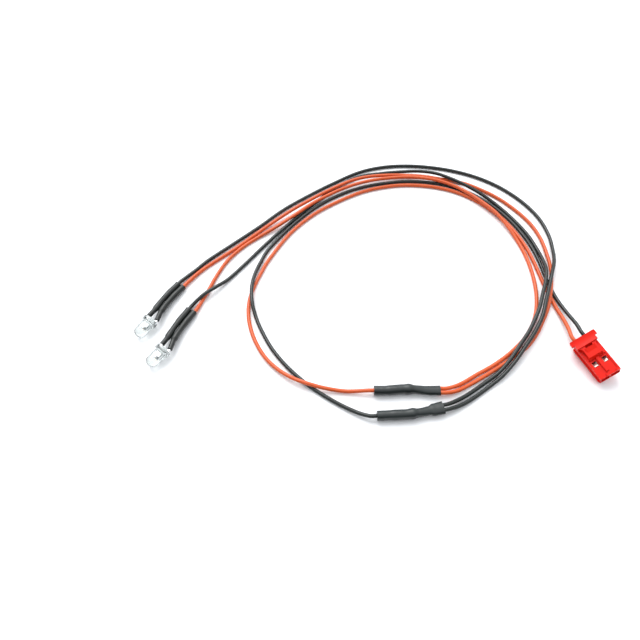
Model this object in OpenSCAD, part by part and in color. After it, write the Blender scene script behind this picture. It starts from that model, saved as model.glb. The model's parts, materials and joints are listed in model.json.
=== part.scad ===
// Pair of clear 3 mm indicator lamps on one light harness.
// Each lamp's two legs are soldered to a thin black and a thin red wire under sleeves.
// The wires run round one loose loop to two splices, and on to a two way plug.
// Millimetres. The surface it lies on is z = 0, and the lamps lie round the origin.

/* [Lamp body] */
// Diameter of the lamp's barrel and dome
lens_d = 3; // [2.8:0.1:3.2]
// Diameter of the flange round the lamp's base
flange_d = 3.85; // [3.6:0.05:4.2]
// Thickness of the flange
flange_t = 1; // [0.8:0.1:1.2]
// Height of the lamp from its base to the tip of the dome
lens_len = 5.3; // [5:0.1:6]
// How far the flat that marks the short leg is cut into the flange
flat_depth = 0.3; // [0.1:0.05:0.4]

/* [Lead frame] */
// Distance between the centres of the two legs
leg_pitch = 2.54; // [2.4:0.02:2.6]
// Width of a leg
leg_w = 0.5; // [0.4:0.05:0.55]
// Thickness of the sheet that the legs are stamped from
leg_t = 0.45; // [0.4:0.05:0.5]
// Height of the anvil's shoulder above the lamp's base
anvil_h = 2.6; // [2.4:0.05:2.8]
// Diameter of the reflector cup
cup_d = 1; // [0.9:0.05:1.1]
// Height of the reflector cup above the anvil
cup_h = 0.4; // [0.35:0.05:0.5]
// Depth of the hollow in the reflector cup
cup_depth = 0.3; // [0.2:0.05:0.3]
// Side of the square light chip
chip_w = 0.3; // [0.25:0.01:0.35]
// Thickness of the light chip
chip_t = 0.15; // [0.1:0.01:0.18]
// Diameter of the bond wire
bond_d = 0.05; // [0.04:0.01:0.08]

/* [Wires] */
// Diameter of a wire over its insulation
wire_d = 0.95; // [0.8:0.05:0.95]
// How far a wire's insulation goes into a sleeve
wire_tuck = 3; // [2:0.5:3]

/* [Leg sleeves] */
// Outer diameter of the shrunk sleeve on a lamp's leg
sleeve_d = 1.6; // [1.5:0.05:1.6]
// Outer diameter of the sleeve where it grips the bare leg
sleeve_leg_d = 1.4; // [1.3:0.05:1.5]
// Gap all round between a sleeve and the wire in it
sleeve_gap = 0.05; // [0.03:0.01:0.08]
// Distance between the centres of two sleeves where they lie side by side
sleeve_pitch = 1.66; // [1.64:0.02:1.8]
// Length of a leg that is left bare before its bend
leg_bare = 0.3; // [0.2:0.05:0.6]
// Length over which the two legs close up
leg_close = 2.6; // [2.2:0.1:3]
// Length of the bent part of the sleeves
sleeve_bow = 6.5; // [5.5:0.1:7]
// Angle at which the sleeves run down to the surface
sleeve_drop = 5; // [4:0.5:5]
// Diameter of a soldered leg joint
joint_d = 1; // [0.9:0.02:1]

/* [Splices] */
// Outer diameter of a splice sleeve at its single wire end
splice_end_d = 2.3; // [2:0.05:2.4]
// Outer diameter of a splice sleeve over its joint
splice_mid_d = 2.6; // [2.4:0.05:2.8]
// Outer diameter round each wire of a splice sleeve's pair end
splice_pair_d = 1.8; // [1.7:0.05:1.9]
// Length of a splice sleeve from its single wire end to its joint's shoulder
splice_single_len = 8.4; // [8:0.1:9]
// Length of a splice sleeve from the joint's shoulder to its pair end
splice_pair_len = 6.8; // [6:0.1:7.5]
// Diameter of a soldered splice joint
splice_joint_d = 1.2; // [1:0.05:1.3]
// How far apart the two wires leave the black splice
black_spread = 1.2; // [1.1:0.05:1.3]
// How far apart the two wires leave the red splice
red_spread = 1.06; // [1.04:0.02:1.2]

/* [Plug housing] */
// Length of the plug from its thumb pad to its mouths
plug_len = 10.8; // [10.4:0.1:12]
// Width of the plug over its side rails
plug_w = 5.5; // [5.4:0.1:5.8]
// Width of the plug above its side rails
plug_top_w = 5; // [4.9:0.05:5.2]
// Height of the plug's side rails
rail_h = 1; // [0.8:0.1:1.4]
// Height of the plug's body without its latch
plug_h = 3.2; // [3.1:0.1:3.4]
// Distance between the centres of the two ways
way_pitch = 2.5; // [2.48:0.01:2.52]
// Width of a way
way_w = 1.9; // [1.85:0.05:1.95]
// Height of a way
way_h = 2.1; // [2.05:0.05:2.2]
// Thickness of the plug's floor
floor_t = 0.5; // [0.4:0.05:0.55]
// Length of a terminal window
window_len = 1.3; // [1.2:0.1:1.6]
// Width of a terminal window
window_w = 1.1; // [0.9:0.1:1.3]
// Distance from the mouths to the windows
window_in = 3; // [2.8:0.1:3.2]

/* [Latch] */
// Length of the latch lever
latch_len = 5.6; // [5.4:0.1:5.8]
// Thickness of the latch lever
latch_t = 0.7; // [0.6:0.05:0.8]
// Gap between the latch lever and the plug's roof
latch_gap = 0.4; // [0.3:0.05:0.5]
// Width of the latch lever's narrow part
latch_w = 3.4; // [3.2:0.1:3.6]
// Width of the thumb pad with its two ears
pad_w = 6.4; // [6.2:0.1:7]
// Length of the thumb pad
pad_len = 2.6; // [2.4:0.1:2.8]
// Length of the thumb pad's ears
ear_len = 1.5; // [1.4:0.1:1.8]
// How far the thumb pad stands above the lever
pad_rise = 0.3; // [0.2:0.05:0.4]

/* [Terminals] */
// Thickness of the terminals' sheet
terminal_t = 0.25; // [0.2:0.01:0.28]
// Width of a terminal's contact box
box_w = 1.7; // [1.6:0.05:1.75]
// Height of a terminal's contact box
box_h = 1.8; // [1.7:0.05:1.85]
// Length of a terminal's contact box
box_len = 4.3; // [4.1:0.1:4.4]
// Outer diameter of a terminal's crimp round the insulation
grip_d = 1.55; // [1.5:0.05:1.6]
// Outer diameter of a terminal's crimp on the bare strands
crimp_d = 1.1; // [1:0.05:1.2]

/* [Hidden] */

$fn = 48;
eps = 0.01;
cathode = 1;
anode = -1;

// Places: [x, y], heading, first turn of the legs, turn of the bowed sleeves
far_lamp = [[-3.66, 0.26], 238.5, 12, 12];
near_lamp = [[0.75, -7.94], 235, 18, 10];
// Places: single wire end, heading there, turn at the joint, spread of the pair
red_splice = [[50.2, -18.5], 0, 0, red_spread];
black_splice = [[50.6, -24.7], 3, 10, black_spread];
// Place: middle of the rear end, heading, and roll onto its left edge
plug_at = [100.8, -5.3];
plug_heading = -66;
plug_roll = 25;

// Points of each wire between its end pieces, in millimetres
far_black_points = [
    [5.3, 17, 0.6], [8.2, 20.4, 0.5], [14.3, 26, 0.5], [21, 32.2, 0.5], [27.4, 38.6, 0.5],
    [34.2, 44, 0.5], [41.6, 49.2, 0.5], [49.5, 54, 0.5], [56.8, 56.3, 0.5], [64.2, 56.9, 0.5],
    [71.5, 56.2, 0.5], [78.5, 54.5, 0.5], [85, 51.7, 0.5], [91, 47.5, 0.5], [96, 42, 0.5],
    [99.5, 35.8, 0.5], [101, 29.3, 0.5], [100.8, 23.5, 0.8], [99.7, 18.8, 1.9], [98, 14.5, 2.5],
    [96.3, 10.2, 2.5], [94.6, 6, 2.5], [92.7, 1.3, 2.4], [90.2, -2.9, 2.1], [87.1, -7, 1.8],
    [84, -10.9, 1.5], [80.6, -14.4, 1], [76.8, -17.3, 0.5], [72.4, -20.4, 0.6], [69.6, -22, 0.8]];
far_red_points = [
    [6, 16, 0.6], [8.8, 18.9, 0.5], [15, 24.4, 0.5], [20.5, 29.8, 0.5], [26, 34.6, 1],
    [32, 39.3, 1.5], [41.2, 46, 1.5], [49.3, 50.4, 1.5], [58, 52, 1.3], [67.4, 52.3, 0.7],
    [73.3, 51.4, 0.5], [77.9, 50.3, 0.5], [82.5, 48.4, 0.5], [89.8, 43, 0.5], [95.8, 35.3, 0.5],
    [98.4, 28.4, 0.5], [98.9, 21, 0.8], [98.4, 16, 1.4], [97.6, 12, 1.5], [96.4, 8, 1.5],
    [94.9, 4, 1.3], [93.1, 0.6, 0.8], [90.9, -3, 0.5], [87.8, -6.6, 0.5], [83.7, -9.7, 0.5],
    [79.1, -12.7, 0.5], [75.4, -15, 0.5], [71.6, -17.2, 0.6], [69, -18.5, 0.9]];
near_black_points = [
    [8.5, 8.4, 1.6], [11.2, 10.9, 1.3], [14, 13.9, 0.6], [18, 19, 0.5], [22.7, 25.3, 0.5],
    [27.4, 31.2, 0.5], [32.2, 36.8, 0.5], [37.3, 42.3, 0.5], [42.6, 47.6, 0.5], [49.3, 52, 0.5],
    [56, 53.6, 0.5], [62, 54, 0.8], [67.5, 53.8, 1.2], [72.2, 52.6, 1.5], [76.2, 50.6, 1.5],
    [80, 48, 1.5], [83.8, 45.1, 1.2], [87.5, 41.7, 0.7], [90.5, 37.9, 0.5], [93.2, 33.4, 0.5],
    [95.3, 29, 0.5], [96.6, 24.4, 0.6], [97, 19.5, 1.5], [96.8, 15.7, 2.3], [95.8, 12, 2.5],
    [94.2, 8, 2.5], [92.6, 4, 2.5], [90.8, 0.6, 2.3], [88.6, -3, 2], [86, -6.4, 1.8],
    [83, -10.3, 1.5], [79.7, -13.7, 1], [76.1, -16.2, 0.5], [71.9, -19.1, 0.6], [69, -20.8, 0.9]];
near_red_points = [
    [9.1, 10.2, 0.5], [10.7, 14.8, 0.5], [13, 19.8, 0.5], [16.3, 24.2, 0.5], [20.3, 27.9, 0.5],
    [25.4, 31.6, 0.9], [30.5, 35.6, 1.4], [36.9, 41.2, 1.5], [45.1, 46.5, 1.5], [53, 49.6, 1.5],
    [61.2, 50.9, 1.5], [67.1, 50.8, 1.5], [72.5, 49.6, 1.5], [77, 47.4, 1.5], [80.8, 44.4, 1.5],
    [84.3, 40.8, 1.5], [87.4, 36.8, 1.5], [90, 32, 1.1], [91.9, 27.2, 0.6], [93.1, 22.4, 0.5],
    [93.7, 17.2, 0.5], [93.7, 12.2, 0.5], [93.2, 7.8, 0.5], [92.2, 3.8, 0.5], [90.6, 0, 0.5],
    [88.2, -3.6, 0.5], [85.2, -6.7, 0.5], [82, -9.4, 0.5], [78.5, -11.8, 0.5], [74.8, -13.9, 0.5],
    [71.4, -16, 0.6], [69.1, -17.2, 0.9]];
plug_black_points = [
    [100.3, -1.3, 2.6], [99.7, 1.4, 1.8], [99.1, 4.1, 1.1], [98.4, 7, 0.6], [97.7, 9.8, 0.5],
    [97.2, 12.8, 0.5], [96.8, 16.5, 0.5],
    [96.3, 20.5, 0.5], [95.4, 24.8, 0.5], [94, 29, 0.5], [92, 33.4, 0.5], [89.3, 37.7, 0.5],
    [86.2, 41.4, 0.5], [82.5, 44.6, 0.5], [78.2, 47.3, 0.5], [73.1, 49.2, 0.5], [67.2, 50.1, 0.5],
    [61, 50, 0.5], [52.4, 48.4, 0.5], [45, 45.4, 0.5], [37.4, 40.2, 0.5], [30.5, 33.1, 0.5],
    [24.3, 24.6, 0.5], [22.2, 19.8, 0.6], [20.9, 15, 1.2], [20.4, 10.5, 1.6], [20.8, 6, 1.3],
    [22, 1.8, 0.6], [23.7, -2.2, 0.5], [26.3, -7, 0.5], [30, -11.8, 0.5], [34.5, -16.2, 0.5],
    [38.8, -19.4, 0.5], [42.8, -21.9, 0.6], [46.4, -23.8, 0.9]];
plug_red_points = [
    [98.5, -2, 1.7], [98.2, 1.2, 1.1], [97.6, 4.4, 0.6], [96.9, 7.8, 0.5],
    [96.1, 11.6, 0.5], [95.5, 16, 0.5], [94.9, 20, 0.5], [94.1, 24, 0.5], [92.8, 28.1, 0.5], [91, 32.2, 0.5], [88.6, 36.2, 0.5],
    [83.8, 41.5, 0.5], [77.8, 45.7, 0.5], [70.4, 48.1, 0.5], [61.6, 48.6, 0.5], [53, 46.9, 0.5],
    [45.6, 43.5, 0.5], [36.9, 37.6, 0.5], [29.9, 30.1, 0.5], [24.5, 21, 0.5], [22.5, 16.3, 0.5],
    [21, 12, 0.5], [20, 7.7, 0.5], [19.9, 3.5, 0.5], [20.7, -0.9, 0.5], [22.3, -5.2, 0.5],
    [24.8, -9.4, 0.5], [28, -12.8, 0.8], [31.5, -15.3, 1.3], [35, -16.8, 1.5], [39, -17.8, 1.1],
    [43.8, -18.4, 0.7]];

// A lamp's own sizes that follow from the ones above
lens_r = lens_d / 2;
lamp_axis_h = flange_d / 2;
dome_base = lens_len - lens_r;
cup_top = anvil_h + cup_h;
chip_top = cup_top - cup_depth + chip_t;
post_w = 0.45;
frame_wall = 0.2;
frame_half = min(leg_pitch / 2 + leg_w / 2, lens_r - frame_wall);
post_y = min(leg_pitch / 2 - 0.2, frame_half - post_w / 2);
post_gap = 0.3;
cup_overhang = 0.06;
anvil_half = min(cup_d / 2 - cup_overhang, post_y - post_w / 2 - post_gap);
sink = 0.02;
tail_start = 0.4;
sleeve_bore = wire_d + 2 * sleeve_gap;
sleeve_step = 0.03;
sleeve_lap = 0.15;
lead_out = 1.5;
leg_bore = 0.8;

function turned(p, a) = [p[0] * cos(a) - p[1] * sin(a), p[0] * sin(a) + p[1] * cos(a)];
function along(a, d) = [d * cos(a), d * sin(a)];

// The tail's plane: x runs back from the lamp, y to the cathode's side
function bow_r(lamp) = sleeve_bow / (lamp[3] * PI / 180);
function close_at(lamp, side) = [leg_bare, side * leg_pitch / 2];
function bow_start(lamp) = [leg_bare, 0] + along(lamp[2], leg_close);
function bow_centre(lamp) = bow_start(lamp) - turned([0, bow_r(lamp)], lamp[2]);
function out_angle(lamp) = lamp[2] - lamp[3];
function bow_leg_r(lamp, side) = bow_r(lamp) + side * sleeve_pitch / 2;
function bow_point(lamp, side, angle) =
    bow_centre(lamp) + turned([0, bow_leg_r(lamp, side)], angle);
function mouth_point(lamp, side, out) =
    bow_point(lamp, side, out_angle(lamp)) + along(out_angle(lamp), wire_tuck + out);

// A point of the tail's plane in the whole model's frame
function tail_point(lamp, p) = let (
    flat = turned([tail_start + p[0] * cos(sleeve_drop), p[1]], lamp[1] + 180))
    [lamp[0][0] + flat[0], lamp[0][1] + flat[1], lamp_axis_h - p[0] * sin(sleeve_drop)];
function lamp_end(lamp, side) =
    [for (out = [-wire_tuck, 0, lead_out]) tail_point(lamp, mouth_point(lamp, side, out))];

// A splice's two ends in the whole model's frame
splice_axis_h = splice_mid_d / 2;
pair_from = splice_pair_len - wire_tuck;
splice_step = 0.05;
splice_web = splice_pair_d * 0.8;
function splice_turn(s) = s[0] + along(s[1], splice_single_len);
function pair_point(s, side, d) = let (
    p = splice_turn(s) + turned([d, side * s[3] / 2], s[1] + s[2])) [p[0], p[1], splice_axis_h];
function pair_end(s, side) =
    [for (out = [lead_out, 0, -wire_tuck]) pair_point(s, side, splice_pair_len + out)];
function single_end(s) =
    [for (out = [-lead_out, 0, wire_tuck]) let (p = s[0] + along(s[1], out)) [p[0], p[1], splice_axis_h]];

// The plug's two wires in the whole model's frame
way_z = floor_t + way_h / 2 - 0.1;
insulation_in = 3.2;
plug_lift = plug_w / 2 * sin(plug_roll);
function plug_point(x, y, z) = let (
    across = y * cos(plug_roll) - z * sin(plug_roll),
    p = plug_at + turned([x, across], plug_heading))
    [p[0], p[1], plug_lift + y * sin(plug_roll) + z * cos(plug_roll)];
function way_end(side) =
    [for (x = [insulation_in, 0, -lead_out]) plug_point(x, side * way_pitch / 2, way_z)];

// A smooth curve through all the points, as rings of a tube
tube_sides = 8;
ring_step = 2.75;
function smooth(p, i, t) = let (
    n = len(p) - 1, b = p[i], c = p[i + 1],
    a = i > 0 ? p[i - 1] : 2 * b - c, d = i + 2 <= n ? p[i + 2] : 2 * c - b)
    0.5 * (2 * b + (c - a) * t + (2 * a - 5 * b + 4 * c - d) * t * t
           + (3 * b - a - 3 * c + d) * t * t * t);
function curve(p) = concat(
    [for (i = [0 : len(p) - 2]) let (n = max(1, round(norm(p[i + 1] - p[i]) / ring_step)))
        for (k = [0 : n - 1]) lifted(smooth(p, i, k / n))],
    [p[len(p) - 1]]);
function lifted(p) = [p[0], p[1], max(p[2], wire_d / 2)];
function unit(v) = v / norm(v);
function ring(c, i, r) = let (
    n = len(c) - 1,
    dir = unit(c[min(n, i + 1)] - c[max(0, i - 1)]),
    side = unit(cross([0, 0, 1], dir)), up = cross(dir, side))
    [for (k = [0 : tube_sides - 1]) let (a = 360 * k / tube_sides)
        c[i] + r * (cos(a) * side + sin(a) * up)];

module tube(points, r) {
    c = curve(points);
    n = len(c);
    s = tube_sides;
    polyhedron(
        points = [for (i = [0 : n - 1]) each ring(c, i, r)],
        faces = concat(
            [[for (k = [0 : s - 1]) k]],
            [for (i = [0 : n - 2], k = [0 : s - 1])
                [i * s + k, (i + 1) * s + k, (i + 1) * s + (k + 1) % s, i * s + (k + 1) % s]],
            [[for (k = [s - 1 : -1 : 0]) (n - 1) * s + k]]),
        convexity = 6);
}

// Frames in which the pieces are drawn
module at_lamp(lamp) {
    translate([lamp[0][0], lamp[0][1], lamp_axis_h]) rotate([0, 0, lamp[1]]) children();
}

module upright_lamp(lamp) {
    at_lamp(lamp) rotate([0, 90, 0]) children();
}

module at_tail(lamp) {
    at_lamp(lamp) rotate([0, 0, 180]) translate([tail_start, 0, 0])
        rotate([0, sleeve_drop, 0]) children();
}

module at_plug() {
    translate([plug_at[0], plug_at[1], plug_lift]) rotate([plug_roll, 0, plug_heading]) children();
}

module rod(p, angle, h, r) {
    translate([p[0], p[1], 0]) rotate([0, 0, angle]) rotate([0, 90, 0]) cylinder(h = h, r = r);
}

// Sheet metal outline in the plane of the legs: x across, y up the lamp
module stamped(points) {
    rotate([90, 0, 90]) linear_extrude(leg_t, center = true) polygon(points);
}

// The lamp
module cathode_frame() {
    y = leg_pitch / 2;
    w = leg_w / 2;
    difference() {
        union() {
            stamped([[-y - w, -tail_start], [-y + w, -tail_start], [-y + w, 0.5],
                     [-0.6, 1.45], [anvil_half, 1.45], [anvil_half, anvil_h],
                     [-cup_d / 2 - 0.1, anvil_h], [-frame_half, 2], [-frame_half, 0.9],
                     [-y - w, 0.6]]);
            translate([0, 0, anvil_h - 0.2]) cylinder(h = cup_h + 0.2, d = cup_d);
        }
        translate([0, 0, cup_top - cup_depth])
            cylinder(h = cup_depth + eps, r1 = chip_w * 0.8, r2 = cup_d / 2 - 0.08);
    }
}

module anode_frame() {
    y = leg_pitch / 2;
    w = leg_w / 2;
    p = post_w / 2;
    stamped([[y - w, -tail_start], [y + w, -tail_start], [y + w, 0.6],
             [frame_half, 0.9], [frame_half, 1.8], [post_y + p, 2.1], [post_y + p, chip_top],
             [post_y - p, chip_top], [post_y - p, 2], [frame_half - leg_w, 1.7],
             [frame_half - leg_w, 0.9], [y - w, 0.6]]);
}

module chip_block(below = 0) {
    translate([-chip_w / 2, -chip_w / 2, chip_top - chip_t - below])
        cube([chip_w, chip_w, chip_t + below]);
}

module bond_arc() {
    translate([0, post_y / 2, chip_top]) rotate([90, 0, 90])
        rotate_extrude(angle = 180) translate([post_y / 2, 0]) circle(d = bond_d, $fn = 16);
}

// Short pegs that carry the bond wire's room on into the chip and the post
module bond_feet() {
    for (y = [0, post_y]) translate([0, y, chip_top - sink]) cylinder(h = 2 * sink, d = bond_d, $fn = 16);
}

module lens(lamp) {
    color([0.86, 0.88, 0.9, 0.45]) upright_lamp(lamp) difference() {
        union() {
            cylinder(h = dome_base, r = lens_r);
            translate([0, 0, dome_base]) sphere(r = lens_r);
            intersection() {
                cylinder(h = flange_t, d = flange_d);
                translate([-flange_d, -flange_d / 2 + flat_depth, 0])
                    cube([2 * flange_d, 2 * flange_d, flange_t]);
            }
        }
        cathode_frame();
        anode_frame();
        chip_block(sink);
        bond_arc();
        bond_feet();
    }
}

// Part of a leg outside the lamp, bent once towards the other leg
module leg(lamp, side) {
    start = close_at(lamp, side);
    end = bow_point(lamp, side, lamp[2]);
    w = leg_w / 2;
    across = turned([0, w], lamp[2]);
    translate([0, 0, -leg_t / 2]) linear_extrude(leg_t) polygon([
        [-0.1, start[1] - w], start - [0, w], end - across,
        end + across, start + [0, w], [-0.1, start[1] + w]]);
}

module cathode_lead(lamp) {
    color([0.78, 0.79, 0.8]) {
        upright_lamp(lamp) cathode_frame();
        at_tail(lamp) leg(lamp, cathode);
    }
}

module anode_lead(lamp) {
    color([0.78, 0.79, 0.8]) {
        upright_lamp(lamp) anode_frame();
        at_tail(lamp) leg(lamp, anode);
    }
}

module chip(lamp) {
    color([0.55, 0.5, 0.42]) upright_lamp(lamp) chip_block();
}

module bond_wire(lamp) {
    color([0.9, 0.72, 0.3]) upright_lamp(lamp) bond_arc();
}

module pipe(p, angle, h, outer, inner) {
    difference() {
        rod(p, angle, h, outer / 2);
        rod(p - along(angle, 1), angle, h + 2, inner / 2);
    }
}

// Bowed part of one leg's line, solid or hollow
module leg_bow(lamp, side, outer, inner) {
    c = bow_centre(lamp);
    translate([c[0], c[1], 0]) rotate([0, 0, out_angle(lamp) + 90])
        rotate_extrude(angle = lamp[3]) translate([bow_leg_r(lamp, side), 0]) difference() {
            circle(d = outer);
            if (inner > 0) circle(d = inner);
        }
}

module leg_sleeve(lamp, side) {
    start = close_at(lamp, side);
    end = bow_point(lamp, side, lamp[2]);
    reach = end - start;
    a = atan2(reach[1], reach[0]);
    color([0.13, 0.14, 0.14]) at_tail(lamp) {
        difference() {
            rod(start, a, norm(reach) + sleeve_lap, sleeve_leg_d / 2);
            rod(start - along(a, 1), a, norm(reach) + 2, leg_bore / 2);
            rod(end, lamp[2], 1, joint_d / 2 + sleeve_step);
        }
        leg_bow(lamp, side, sleeve_d, joint_d);
        pipe(bow_point(lamp, side, out_angle(lamp)) - along(out_angle(lamp), sleeve_lap),
             out_angle(lamp), wire_tuck + sleeve_lap, sleeve_d + sleeve_step, sleeve_bore);
    }
}

module leg_joint(lamp, side) {
    color([0.72, 0.72, 0.7]) at_tail(lamp) leg_bow(lamp, side, joint_d, 0);
}

// The splices: x runs from the single wire's end, then turns with the pair
module at_splice(s) {
    translate([s[0][0], s[0][1], splice_axis_h]) rotate([0, 0, s[1]]) children();
}

module at_pair(s) {
    at_splice(s) translate([splice_single_len, 0, 0]) rotate([0, 0, s[2]]) children();
}

module pair_rods(s, from, d) {
    for (side = [-1, 1]) rod([from, side * s[3] / 2], 0, splice_pair_len - from, d / 2);
}

module joint_bars(s) {
    at_splice(s) rod([wire_tuck, 0], 0, splice_single_len - wire_tuck, splice_joint_d / 2);
    at_pair(s) rod([-0.1, 0], 0, pair_from + 0.1, splice_joint_d / 2 - splice_step);
}

module splice_sleeve(s) {
    color([0.22, 0.25, 0.25]) difference() {
        union() {
            at_splice(s) rotate([0, 90, 0])
                cylinder(h = splice_single_len, d1 = splice_end_d, d2 = splice_mid_d);
            at_pair(s) {
                translate([-0.15, 0, 0]) rotate([0, 90, 0]) cylinder(
                    h = pair_from + 0.5, d1 = splice_mid_d - 2 * splice_step, d2 = splice_pair_d + 0.1);
                pair_rods(s, pair_from - 0.6, splice_pair_d);
                translate([pair_from - 0.5, -s[3] / 2, -splice_web / 2])
                    cube([splice_pair_len - pair_from + 0.4, s[3], splice_web]);
            }
        }
        joint_bars(s);
        at_splice(s) rod([-1, 0], 0, wire_tuck + 1, sleeve_bore / 2);
        at_pair(s) translate([pair_from, 0, 0]) for (side = [-1, 1])
            rod([0, side * s[3] / 2], 0, wire_tuck + 1, sleeve_bore / 2);
    }
}

module splice_joint(s) {
    color([0.72, 0.72, 0.7]) joint_bars(s);
}

// The plug: x runs from the rear to the mouths, z is up
roof_z = plug_h;
lever_z = roof_z + latch_gap;
body_from = 1.1;
rib_w = 0.7;
channel_from = latch_len + 0.3;
dish_r = 4;
dish_depth = 0.18;
slot_len = 0.6;
slot_w = 1.8;
hook_from = pad_len + 0.1 + slot_len;
hook_len = 1.1;
hook_h = 0.3;

function arc_points(c, r, from, to, n) =
    [for (k = [0 : n]) let (a = from + (to - from) * k / n) c + [r * cos(a), r * sin(a)]];

// Half of the lever's outline, from the rear to its root
function lever_half() = let (
    wide = pad_w / 2, mid = plug_top_w / 2 + 0.1, narrow = latch_w / 2, r = mid - narrow)
    concat([[0.3, 0]],
           arc_points([0.6, wide - 0.3], 0.3, 180, 90, 3),
           [[ear_len, wide], [ear_len, mid], [pad_len, mid]],
           arc_points([pad_len + r, mid], r, 180, 270, 5),
           [[latch_len, narrow], [latch_len, 0]]);

module lever_plan() {
    polygon(lever_half());
    mirror([0, 1]) polygon(lever_half());
}

module latch() {
    difference() {
        union() {
            translate([0, 0, lever_z]) linear_extrude(latch_t) lever_plan();
            translate([0, 0, lever_z + eps]) linear_extrude(latch_t + pad_rise - eps)
                intersection() {
                    lever_plan();
                    translate([0, -pad_w]) square([pad_len, 2 * pad_w]);
                }
            // Root, sloped down to the roof
            rotate([90, 0, 0]) linear_extrude(latch_w, center = true)
                polygon([[latch_len - 1.2, roof_z - eps], [latch_len + 0.5, roof_z - eps],
                         [latch_len, lever_z + latch_t], [latch_len - 1.2, lever_z + latch_t]]);
            // Hook that catches in the mating shell
            rotate([90, 0, 0]) linear_extrude(latch_w - 0.9, center = true)
                polygon([[hook_from, lever_z + latch_t - eps], [hook_from, lever_z + latch_t + hook_h],
                         [hook_from + hook_len, lever_z + latch_t - eps]]);
        }
        // Slot behind the hook
        translate([hook_from - slot_len, -slot_w / 2, lever_z - 0.1])
            cube([slot_len, slot_w, latch_t + 0.2]);
        // Shallow dish for the thumb
        translate([pad_len / 2 + 0.1, 0, lever_z + latch_t + pad_rise + dish_r - dish_depth]) rotate([90, 0, 0])
            cylinder(h = 2 * pad_w, r = dish_r, center = true);
    }
}

module plug_body() {
    difference() {
        union() {
            translate([body_from, -plug_top_w / 2, 0])
                cube([plug_len - body_from, plug_top_w, roof_z]);
            translate([body_from, 0, 0]) linear_extrude(rail_h) polygon([
                [0, -plug_w / 2], [plug_len - body_from - 0.5, -plug_w / 2],
                [plug_len - body_from, -plug_top_w / 2], [plug_len - body_from, plug_top_w / 2],
                [plug_len - body_from - 0.5, plug_w / 2], [0, plug_w / 2]]);
        }
        // Channels in the roof on each side of the middle rib
        for (side = [-1, 1])
            translate([channel_from, side * way_pitch / 2 - way_w / 2 + 0.05, roof_z - 0.25])
                cube([plug_len - channel_from - 0.6, way_w - 0.1, 1]);
        // Notches in the front lip
        for (side = [-1, 1])
            translate([plug_len - 0.7, side * way_pitch / 2 - 0.4, roof_z - 0.25])
                cube([0.8, 0.8, 1]);
        // Step under the front for the mating shell's key
        translate([plug_len - 2.4, -0.6, -eps]) cube([2.5, 1.2, 0.2]);
    }
    // Middle rib
    translate([channel_from - 0.1, -rib_w / 2, roof_z - eps])
        cube([plug_len - channel_from - 0.9, rib_w, 0.25]);
}

module plug_housing() {
    color([0.92, 0.1, 0.07]) at_plug() difference() {
        union() {
            plug_body();
            latch();
        }
        for (side = [-1, 1]) translate([0, side * way_pitch / 2, 0]) {
            translate([-1, -way_w / 2, floor_t]) cube([plug_len + 2, way_w, way_h]);
            translate([plug_len - window_in - window_len, -window_w / 2, floor_t + way_h - 0.1])
                cube([window_len, window_w, 2]);
            translate([plug_len - 0.25, -way_w / 2 - 0.1, floor_t - 0.1])
                cube([1, way_w + 0.2, way_h + 0.2]);
        }
    }
}

// A crimp terminal, with the strands in its crimp
module terminal(side) {
    front = plug_len - 0.5;
    back = front - box_len;
    lance_x = plug_len - window_in - window_len / 2;
    color([0.83, 0.8, 0.72]) at_plug() translate([0, side * way_pitch / 2, floor_t]) {
        difference() {
            translate([back, -box_w / 2, 0]) cube([box_len, box_w, box_h]);
            translate([back - 1, -box_w / 2 + terminal_t, terminal_t])
                cube([box_len + 2, box_w - 2 * terminal_t, box_h - 2 * terminal_t]);
        }
        rotate([90, 0, 0]) linear_extrude(0.8, center = true)
            polygon([[lance_x - 0.7, box_h - eps], [lance_x + 0.7, box_h - eps],
                     [lance_x + 0.5, way_h + 0.15], [lance_x + 0.3, way_h + 0.15]]);
        translate([1.2, -0.45, 0]) cube([back - 1.2 + eps, 0.9, terminal_t]);
        translate([0, 0, way_z - floor_t]) {
            difference() {
                rod([1.2, 0], 0, 1.7, grip_d / 2);
                rod([1, 0], 0, 2, wire_d / 2 + sleeve_gap);
            }
            rod([insulation_in, 0], 0, 0.7, 0.2);
            rod([3.7, 0], 0, 1.8, crimp_d / 2);
        }
        for (x = [1.2, 3.7])
            translate([x, -0.45, 0]) cube([x < 2 ? 1.7 : 1.8, 0.9, way_z - floor_t - wire_d / 2]);
    }
}

module wire_black(points) {
    color([0.16, 0.18, 0.18]) tube(points, wire_d / 2);
}

module wire_red(points) {
    color([0.95, 0.3, 0.16]) tube(points, wire_d / 2);
}

lens(far_lamp);  // far_lamp_lens
cathode_lead(far_lamp);  // far_lamp_cathode
anode_lead(far_lamp);  // far_lamp_anode
chip(far_lamp);  // far_lamp_chip
bond_wire(far_lamp);  // far_lamp_bond_wire
leg_sleeve(far_lamp, cathode);  // far_lamp_cathode_sleeve
leg_sleeve(far_lamp, anode);  // far_lamp_anode_sleeve
leg_joint(far_lamp, cathode);  // far_lamp_cathode_joint
leg_joint(far_lamp, anode);  // far_lamp_anode_joint
lens(near_lamp);  // near_lamp_lens
cathode_lead(near_lamp);  // near_lamp_cathode
anode_lead(near_lamp);  // near_lamp_anode
chip(near_lamp);  // near_lamp_chip
bond_wire(near_lamp);  // near_lamp_bond_wire
leg_sleeve(near_lamp, cathode);  // near_lamp_cathode_sleeve
leg_sleeve(near_lamp, anode);  // near_lamp_anode_sleeve
leg_joint(near_lamp, cathode);  // near_lamp_cathode_joint
leg_joint(near_lamp, anode);  // near_lamp_anode_joint
splice_sleeve(red_splice);  // red_splice_sleeve
splice_joint(red_splice);  // red_splice_joint
splice_sleeve(black_splice);  // black_splice_sleeve
splice_joint(black_splice);  // black_splice_joint
plug_housing();
terminal(1);  // black_terminal
terminal(-1);  // red_terminal
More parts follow.
